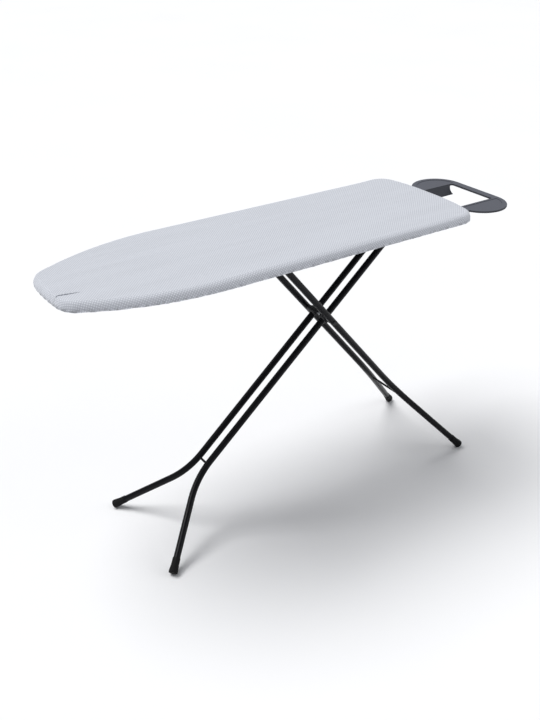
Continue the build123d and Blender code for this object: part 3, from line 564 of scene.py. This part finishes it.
def sew_cover(settings):
    """The fitted cover: crowned over the foam, puckered down the edge and gathered under the board."""
    cotton = printed_cotton(settings)
    piece = even_quads(to_piece(whole_hull("cover"), "fitted_cover", cotton), settings.voxel)
    mesh = piece.data
    points = points_of(mesh)
    cut = flat_cut(points)
    foot, out, inset, run = EDGE.near(points[:, :2])
    below = points[:, 2] < SIDE_MIDDLE
    # Seeds of the gathers, so that the simulation buckles where the folds are.
    folds = round(EDGE.around / settings.fold)
    jitter = waves(np.column_stack([foot, np.zeros(len(foot))]), (0.06, 0.06, 1), 3.1)
    phase = 2 * math.pi * folds * run / EDGE.around + 2.4 * jitter
    ripple = 0.5 + 0.5 * np.sin(phase)
    drop = COVER_HIGH.z - points[:, 2]
    side = ease(drop, 6 * MM, 18 * MM) * (1 - ease(inset, 2 * MM, 9 * MM))
    uneven = 0.5 + 0.5 * waves(np.column_stack([foot, points[:, 2]]), (0.045, 0.045, 0.05), 7.7)
    under = np.where(below, ease(inset, 3 * MM, 22 * MM), 0)
    bunched = 1 + 0.25 * (1 - ease(points[:, 0], COVER_LOW.x + 30 * MM, COVER_LOW.x + 110 * MM))
    loose = ease(drop, 8 * MM, 17 * MM) * (1 - ease(inset, 5 * MM, 14 * MM))
    lumps = 0.5 + 0.5 * waves(np.column_stack([foot, points[:, 2]]), (0.013, 0.013, 0.009), 11.3)
    low_edge = ease(drop, 12 * MM, 21 * MM) * (1 - ease(inset, 14 * MM, 26 * MM))
    hanging = 0.5 + 0.5 * waves(np.column_stack([foot, np.zeros(len(foot))]), (0.021, 0.021, 1), 17.9)
    push = settings.pucker * side * ripple * uneven + settings.lump * loose * lumps
    points[:, :2] += out * (push * bunched)[:, None]
    points[:, 2] -= settings.gather * under * ripple * (0.55 + 0.45 * uneven)
    points[:, 2] -= settings.scallop * low_edge * hanging * bunched
    set_points(mesh, points)
    held = np.where(below & (inset > settings.hem + 8 * MM), 1.0, 0.0)
    gathered = np.maximum(side, under) * np.where(inset < settings.hem, 1, 0)
    on_top = ~below & (inset > TOP_ROUND)
    reach = np.where(on_top, settings.swell, 1.8 * settings.swell)
    press_out(piece, settings, held, gathered, reach)
    points = points_of(mesh)
    # Long slack waves along the board and the elastic's casing along the hem.
    on_top = np.where(below, 0, ease(inset, 4 * MM, 24 * MM))
    long_wave = waves(points, (0.30, 0.030, 1), 1.3) + 0.6 * waves(points, (0.12, 0.016, 1), 5.9)
    points[:, 2] += 0.45 * MM * on_top * long_wave
    casing = np.where(below, ease(inset, 31 * MM, 35 * MM) * (1 - ease(inset, 39 * MM, 43 * MM)), 0)
    points[:, 2] -= 1.3 * MM * casing
    set_points(mesh, points)
    give_cut(mesh, cut)
    # The opening inside the hem.
    bm = bmesh.new()
    bm.from_mesh(mesh)
    bm.verts.ensure_lookup_table()
    gone = [v for v in bm.verts if below[v.index] and inset[v.index] > settings.hem]
    bmesh.ops.delete(bm, geom=gone, context="VERTS")
    rim = [v for v in bm.verts if v.is_boundary]
    for _ in range(6):
        bmesh.ops.smooth_vert(bm, verts=rim, factor=0.5, use_axis_x=True, use_axis_y=True, use_axis_z=True)
    bm.to_mesh(mesh)
    bm.free()
    mesh.polygons.foreach_set("use_smooth", [True] * len(mesh.polygons))
    thicken(piece, settings.cloth)
    return piece


def pleat(cover):
    """A short rolled tuck where the cover is fitted round the blunt end."""
    cloth = cover.evaluated_get(bpy.context.evaluated_depsgraph_get())
    start, end = (Vector((COVER_LOW.x + x, y, COVER_HIGH.z)) for x, y in (TUCK_START, TUCK_END))
    ahead = (end - start).normalized()
    aside = Vector((-ahead.y, ahead.x, 0))
    # Half section from the flat cloth, up over the roll and back under it: aside and up.
    section = [(9.0, -0.6), (6.0, 0.2), (3.2, 1.1), (1.2, 2.0), (-0.4, 2.3), (-1.6, 1.8), (-1.5, 1.0),
               (0.2, 0.5), (1.8, -0.5)]
    steps = 22
    bm = bmesh.new()
    bmesh.ops.create_grid(
        bm, x_segments=steps, y_segments=len(section) - 1, size=0.5,
        matrix=Matrix.Translation((0.5, 0.5, 0)))
    for v in bm.verts:
        share = v.co.x
        side, up = section[round(v.co.y * (len(section) - 1))]
        full = math.sin(math.pi * min(1.0, 0.3 + 0.7 * share)) ** 0.8
        place = start.lerp(end, share) + aside * (side * MM * (0.35 + 0.65 * full))
        hit, on_cloth, _, _ = cloth.ray_cast(place + Vector((0, 0, 30 * MM)), Vector((0, 0, -1)))
        if not hit:
            raise RuntimeError("the tuck leaves the cover")
        place.z = on_cloth.z + (up * full - 0.1) * MM
        v.co = place
    bmesh.ops.recalc_face_normals(bm, faces=bm.faces)
    piece = to_piece(bm, "nose_tuck", bpy.data.materials["printed_cotton_twill"])
    give_cut(piece.data, points_of(piece.data)[:, :2])
    smoother = piece.modifiers.new("Round", "SUBSURF")
    smoother.levels = smoother.render_levels = 1
    thicken(piece, 0.5 * MM)
    return piece


def stitch_line(name, spots, thread):
    """Short twisted stitches, each at a spot given as place, direction and up."""
    bm = bmesh.new()
    for place, ahead, up in spots:
        across = up.cross(ahead).normalized()
        turn = Matrix((ahead * 1.35 * MM, across * 0.42 * MM, up * 0.38 * MM)).transposed().to_4x4()
        turn.translation = place
        bmesh.ops.create_icosphere(bm, subdivisions=1, radius=1.0, matrix=turn)
    bmesh.ops.recalc_face_normals(bm, faces=bm.faces)
    return to_piece(bm, name, thread)


def sew_hem(cover, settings):
    """A row of stitches along the elastic's casing, laid on the cloth, and the tuck's own stitches."""
    thread = spun_thread(settings)
    spots = []
    count = int(EDGE.around / HEM_STITCH_PITCH)
    evaluated = cover.evaluated_get(bpy.context.evaluated_depsgraph_get())
    for index in range(count):
        foot, out = EDGE.at(EDGE.around * index / count)
        inward = foot - out * HEM_STITCH_INSET
        _, _, inset, _ = EDGE.near(inward[None])
        if inset[0] < HEM_STITCH_INSET - 0.5 * MM:
            continue
        hit, place, normal, _ = evaluated.ray_cast(
            Vector((*inward, COVER_LOW.z - 20 * MM)), Vector((0, 0, 1)), distance=30 * MM)
        if not hit:
            continue
        ahead = Vector((-out[1], out[0], 0))
        ahead = (ahead - normal * ahead.dot(normal)).normalized()
        spots.append((place + normal * 0.15 * MM, ahead, normal))
    hem = stitch_line("hem_stitches", spots, thread)
    tuck_spots = []
    for index in range(7):
        start = Vector((
            COVER_LOW.x - 60 * MM, TUCK_START[1] - 0.4 * index * MM, COVER_HIGH.z - (3 + 2.4 * index) * MM))
        hit, place, normal, _ = evaluated.ray_cast(start, Vector((1, 0, 0)), distance=0.2)
        if hit:
            ahead = Vector((0, 0, -1))
            ahead = (ahead - normal * ahead.dot(normal)).normalized()
            tuck_spots.append((place + normal * 0.1 * MM, ahead, normal))
    tuck = stitch_line("nose_stitches", tuck_spots, thread)
    return hem, tuck


def gridded(name, cell):
    """A packed soft piece with its doubles merged, cut into cells so that it can be shaped."""
    bm = bmesh.new()
    bm.from_mesh(NODES[name].data)
    bmesh.ops.remove_doubles(bm, verts=bm.verts, dist=0.01 * MM)
    low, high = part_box(name)
    for axis, normal in ((0, (1, 0, 0)), (1, (0, 1, 0))):
        place = low[axis] + cell
        while place < high[axis]:
            centre = [place if i == axis else 0 for i in range(3)]
            bmesh.ops.bisect_plane(
                bm, geom=[*bm.verts, *bm.edges, *bm.faces], plane_co=centre, plane_no=normal)
            place += cell
    return bm


def lay_foam(settings):
    """The foam pad, faintly uneven where the steam holes let it sink."""
    piece = to_piece(gridded("pad", 12 * MM), "foam_pad", cut_foam(settings))
    points = points_of(piece.data)
    low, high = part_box("pad")
    _, _, inset, _ = EDGE.near(points[:, :2])
    inner = ease(inset, 6 * MM, 30 * MM)
    sink = waves(points, (0.022, 0.022, 1), 4.2)
    upper = ease(points[:, 2], low.z + 2 * MM, high.z)
    points[:, 2] += 0.2 * MM * inner * sink * (1 - upper) - 0.15 * MM * inner * upper * np.abs(sink)
    set_points(piece.data, points)
    return piece


def thread_elastic(settings):
    """Braided elastic drawn through the hem, waved by the gathers."""
    piece = to_piece(gridded("hem_elastic", 9 * MM), "hem_braid", braided_elastic(settings))
    points = points_of(piece.data)
    _, _, inset, run = EDGE.near(points[:, :2])
    folds = round(EDGE.around / settings.fold)
    points[:, 2] -= 0.35 * MM * (0.5 + 0.5 * np.sin(2 * math.pi * folds * run / EDGE.around))
    set_points(piece.data, points)
    give_cut(piece.data, np.column_stack([run, inset]))
    return piece


# ------------------------------------------------------------------ studio
def soft_sun(name, strength, angle, aim):
    light = bpy.data.lights.new(name, "SUN")
    light.energy = strength
    light.angle = math.radians(angle)
    lamp = bpy.data.objects.new(name, light)
    lamp.rotation_euler = Vector(aim).to_track_quat("-Z", "Y").to_euler()
    bpy.context.scene.collection.objects.link(lamp)
    return lamp


def set_studio(settings):
    scene = bpy.context.scene
    bm = bmesh.new()
    bmesh.ops.create_grid(bm, x_segments=8, y_segments=8, size=40)
    floor = to_piece(bm, "studio_floor", painted_floor(settings.floor), smooth=False)
    world = bpy.data.worlds.new("even_surround")
    world.use_nodes = True
    world.node_tree.nodes.clear()
    glow = node(world.node_tree, "Background", {"Color": colour("f2f5fa"), "Strength": settings.sky})
    node(world.node_tree, "OutputWorld", {"Surface": glow.outputs["Background"]})
    scene.world = world
    scene.view_settings.view_transform = "Standard"
    soft_sun("key_light", settings.key, KEY_SPREAD, KEY_AIM)
    soft_sun("fill_light", settings.fill, FILL_SPREAD, FILL_AIM)
    camera_data = bpy.data.cameras.new("studio_camera")
    camera_data.lens = settings.lens
    camera_data.sensor_width = 36
    camera_data.clip_start = 0.05
    camera_data.clip_end = 200
    camera = bpy.data.objects.new("studio_camera", camera_data)
    flat = math.cos(settings.elevation)
    level = Vector((math.sin(settings.azimuth), math.cos(settings.azimuth), 0)) * flat
    ahead = level - Vector((0, 0, math.sin(settings.elevation)))
    camera.location = settings.place
    camera.rotation_euler = ahead.to_track_quat("-Z", "Y").to_euler()
    scene.collection.objects.link(camera)
    scene.camera = camera


# ------------------------------------------------------------------ operators
def wearing(slot):
    """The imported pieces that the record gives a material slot."""
    parts = frame["record"].get("subparts") or []
    return [NODES[part["node"]] for part in parts if part["material_slot"] == slot]


def dress(slot, material):
    """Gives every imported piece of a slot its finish."""
    pieces = wearing(slot)
    if not pieces:
        raise RuntimeError(f"no packed piece has the slot {slot}")
    for piece in pieces:
        for place in piece.material_slots:
            place.material = material


class IRONING_OT_studio(bpy.types.Operator):
    """Sets the floor, the lights and the camera"""
    bl_idname = "ironing.studio"
    bl_label = "Studio"

    def execute(self, context):
        set_studio(context.scene.ironing_studio)
        return {"FINISHED"}


class IRONING_OT_cover(bpy.types.Operator):
    """Sews the fitted cover with its tuck and stitches"""
    bl_idname = "ironing.cover"
    bl_label = "Cover"

    def execute(self, context):
        settings = context.scene.ironing_cover
        cover = sew_cover(settings)
        tuck = pleat(cover)
        hem, nose = sew_hem(cover, settings)
        for piece in (cover, tuck, hem, nose):
            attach(piece, "board")
        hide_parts("cover")
        return {"FINISHED"}


class IRONING_OT_foam(bpy.types.Operator):
    """Lays the foam pad"""
    bl_idname = "ironing.foam"
    bl_label = "Foam pad"

    def execute(self, context):
        pad = lay_foam(context.scene.ironing_cover)
        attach(pad, "board")
        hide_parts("pad")
        return {"FINISHED"}


class IRONING_OT_elastic(bpy.types.Operator):
    """Threads the elastic through the hem"""
    bl_idname = "ironing.elastic"
    bl_label = "Hem elastic"

    def execute(self, context):
        braid = thread_elastic(context.scene.ironing_cover)
        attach(braid, "board")
        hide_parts("hem_elastic")
        return {"FINISHED"}


class IRONING_OT_tubes(bpy.types.Operator):
    """Coats the leg tubes and their braces"""
    bl_idname = "ironing.tubes"
    bl_label = "Leg tubes"

    def execute(self, context):
        tone = context.scene.ironing_coats.tube
        dress("tube_powder_coat", powder_coat(
            "satin_black_powder_coat", tone, 0.30, 1.6 * MM, 0.05 * MM, gloss=0.16))
        return {"FINISHED"}


class IRONING_OT_steel(bpy.types.Operator):
    """Coats the steel top, its rim, ribs, bracket and rails"""
    bl_idname = "ironing.steel"
    bl_label = "Steel top"

    def execute(self, context):
        tone = context.scene.ironing_coats.frame_coat
        dress("frame_paint", powder_coat("stove_enamel_steel", tone, 0.45, 2.0 * MM, 0.06 * MM))
        return {"FINISHED"}


class IRONING_OT_rest(bpy.types.Operator):
    """Coats the iron rest"""
    bl_idname = "ironing.rest"
    bl_label = "Iron rest"

    def execute(self, context):
        coats = context.scene.ironing_coats
        # The rest's sides keep the darker tone and its upward faces get the paler one, as painted light.
        dress("rest_powder_coat", powder_coat(
            "fine_texture_powder_coat", coats.rest, 0.5, 0.9 * MM, 0.10 * MM, 0.2, 0.25, coats.rest_painted_top_light))
        return {"FINISHED"}


class IRONING_OT_feet(bpy.types.Operator):
    """Moulds the rubber caps"""
    bl_idname = "ironing.feet"
    bl_label = "Leg caps"

    def execute(self, context):
        dress("foot_rubber", moulded_rubber(context.scene.ironing_coats.rubber))
        return {"FINISHED"}


class IRONING_OT_fittings(bpy.types.Operator):
    """Finishes the bosses, fasteners, latch and lever"""
    bl_idname = "ironing.fittings"
    bl_label = "Fittings"

    def execute(self, context):
        coats = context.scene.ironing_coats
        dress("black_nylon", moulded_plastic("moulded_nylon", coats.nylon, 0.42, 0.9 * MM))
        dress("zinc_steel", zinc_plate(coats.zinc))
        dress("lever_paint", powder_coat("lever_powder_coat", coats.tube, 0.4, 1.4 * MM, 0.05 * MM))
        dress("grip_vinyl", moulded_plastic("dipped_vinyl", coats.vinyl, 0.5, 1.2 * MM))
        return {"FINISHED"}


OPERATORS = (
    IRONING_OT_studio, IRONING_OT_foam, IRONING_OT_cover, IRONING_OT_elastic, IRONING_OT_tubes,
    IRONING_OT_steel, IRONING_OT_rest, IRONING_OT_feet, IRONING_OT_fittings,
)
GROUPS = {
    "ironing_cover": CoverSettings,
    "ironing_coats": CoatSettings,
    "ironing_studio": StudioSettings,
}


class IRONING_PT_panel(bpy.types.Panel):
    """The board's settings and builders"""
    bl_idname = "IRONING_PT_panel"
    bl_label = "Ironing Board"
    bl_space_type = "VIEW_3D"
    bl_region_type = "UI"
    bl_category = "Ironing Board"

    def draw(self, context):
        for operator in OPERATORS:
            self.layout.operator(operator.bl_idname)
        for name, group in GROUPS.items():
            box = self.layout.box()
            for key in group.__annotations__:
                box.prop(getattr(context.scene, name), key)


def register():
    for cls in (*GROUPS.values(), *OPERATORS, IRONING_PT_panel):
        bpy.utils.register_class(cls)
    for name, group in GROUPS.items():
        setattr(bpy.types.Scene, name, PointerProperty(type=group))


def unregister():
    for name in GROUPS:
        delattr(bpy.types.Scene, name)
    for cls in reversed((*GROUPS.values(), *OPERATORS, IRONING_PT_panel)):
        bpy.utils.unregister_class(cls)


def main():
    register()
    for operator in OPERATORS:
        family, action = operator.bl_idname.split(".")
        getattr(getattr(bpy.ops, family), action)()


if __name__ == "__main__":
    main()
